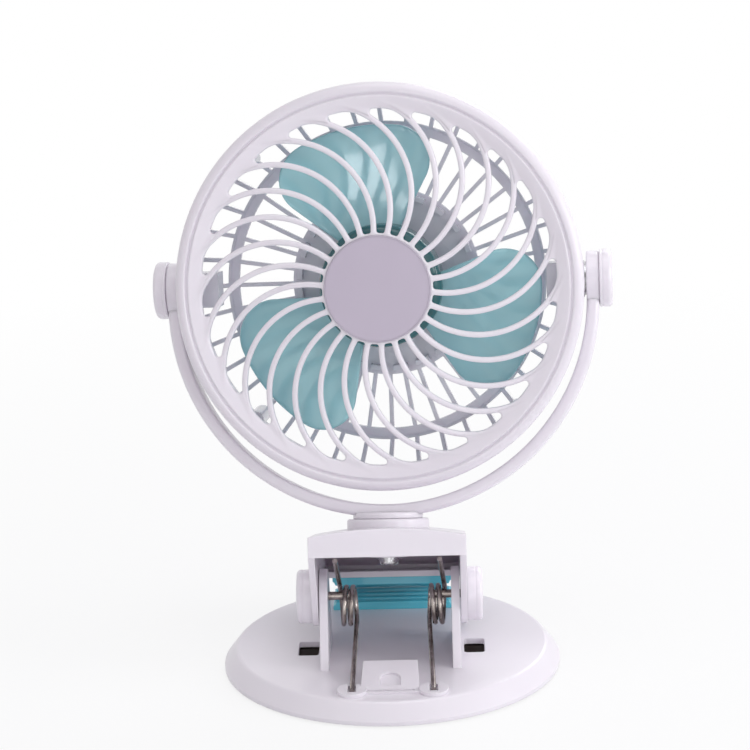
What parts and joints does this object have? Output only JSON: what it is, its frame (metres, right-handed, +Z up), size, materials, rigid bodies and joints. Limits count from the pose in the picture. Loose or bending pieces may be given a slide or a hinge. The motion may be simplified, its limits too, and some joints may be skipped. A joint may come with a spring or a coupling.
{
  "type": "clip fan",
  "caption": "Small caged desk fan in a U-shaped yoke that tilts and swivels on a sprung clip, whose lower jaw is a round desk base.",
  "frame": {"origin": "on the desk, under the middle of the round base", "axes": "+X to the viewer's right, -Y to the front that the fan faces, +Z up"},
  "size_m": [0.1656, 0.122, 0.2101],
  "materials": {
    "white_plastic": "satin moulded",
    "cap_plastic": "fine satin",
    "teal_blades": "polished translucent",
    "teal_pad": "soft ridged",
    "spring_steel": "oiled dark",
    "zinc_screws": "zinc plated",
    "ballast_iron": "rough",
    "foot_rubber": "matt",
    "motor_steel": "drawn",
    "bronze": "sintered",
    "copper": "enamelled",
    "magnet": "sintered",
    "black_plastic": "matt",
    "board_green": "solder mask",
    "battery_wrap": "foil",
    "clear_lens": "clear"
  },
  "bodies": {
    "base": {"base_disc": "white_plastic", "base_bottom_plate": "white_plastic", "ballast_plate": "ballast_iron", "rubber_feet": "foot_rubber", "base_screws": "zinc_screws", "hinge_pins": "spring_steel", "lower_pad": "teal_pad"},
    "jaw": {"jaw_shell": "white_plastic", "upper_pad": "teal_pad", "hinge_cap_left": "white_plastic", "hinge_cap_right": "white_plastic", "spring_left": "spring_steel", "spring_right": "spring_steel", "swivel_collar": "white_plastic"},
    "yoke": {"yoke_bracket": "white_plastic", "swivel_screw": "zinc_screws", "swivel_washer": "zinc_screws", "pivot_cap_left": "white_plastic", "pivot_cap_right": "white_plastic"},
    "head": {"front_grille": "white_plastic", "centre_cap": "cap_plastic", "rear_housing": "white_plastic", "housing_screws": "zinc_screws", "rear_cover": "white_plastic", "rear_cover_screws": "zinc_screws", "pivot_screw_left": "zinc_screws", "pivot_screw_right": "zinc_screws", "pivot_washer_left": "zinc_screws", "pivot_washer_right": "zinc_screws", "motor_can": "motor_steel", "motor_end_cap": "black_plastic", "motor_terminals": "copper", "motor_magnets": "magnet", "front_bearing": "bronze", "rear_bearing": "bronze", "motor_brushes": "copper", "motor_screws": "zinc_screws", "battery_cell": "battery_wrap", "circuit_board": "board_green", "usb_socket": "motor_steel", "switch_body": "black_plastic", "charge_lens": "clear_lens", "charge_light": "white_plastic"},
    "impeller": {"impeller": "teal_blades", "motor_shaft": "motor_steel", "rotor_core": "motor_steel", "rotor_windings": "copper", "commutator": "copper"},
    "button": {"power_button": "white_plastic"}
  },
  "joints": [
    {"name": "clip_open", "type": "hinge", "parent": "base", "child": "jaw", "pos_m": [0, -0.01, 0.0296], "axis": [1, 0, 0], "range_deg": [0, 32], "stiffness_Nm_per_rad": 0.5, "springref_deg": -68.75, "deforming": ["spring_left", "spring_right"]},
    {"name": "neck_swivel", "type": "hinge", "parent": "jaw", "child": "yoke", "pos_m": [0, -0.00249, 0.05271], "axis": [0, 0.309, 0.9511], "continuous": true},
    {"name": "head_tilt", "type": "hinge", "parent": "yoke", "child": "head", "pos_m": [0, 0.02449, 0.13574], "axis": [0.9976, -0.0663, 0.0216], "range_deg": [-98, 16]},
    {"name": "impeller_spin", "type": "hinge", "parent": "head", "child": "impeller", "pos_m": [0, 0.02449, 0.13574], "axis": [-0.069, -0.984, 0.1643], "continuous": true},
    {"name": "power_press", "type": "slide", "parent": "head", "child": "button", "axis": [-0.069, -0.984, 0.1643], "range_m": [0, 0.0006], "stiffness_N_per_m": 400, "springref_m": -0.001}
  ]
}
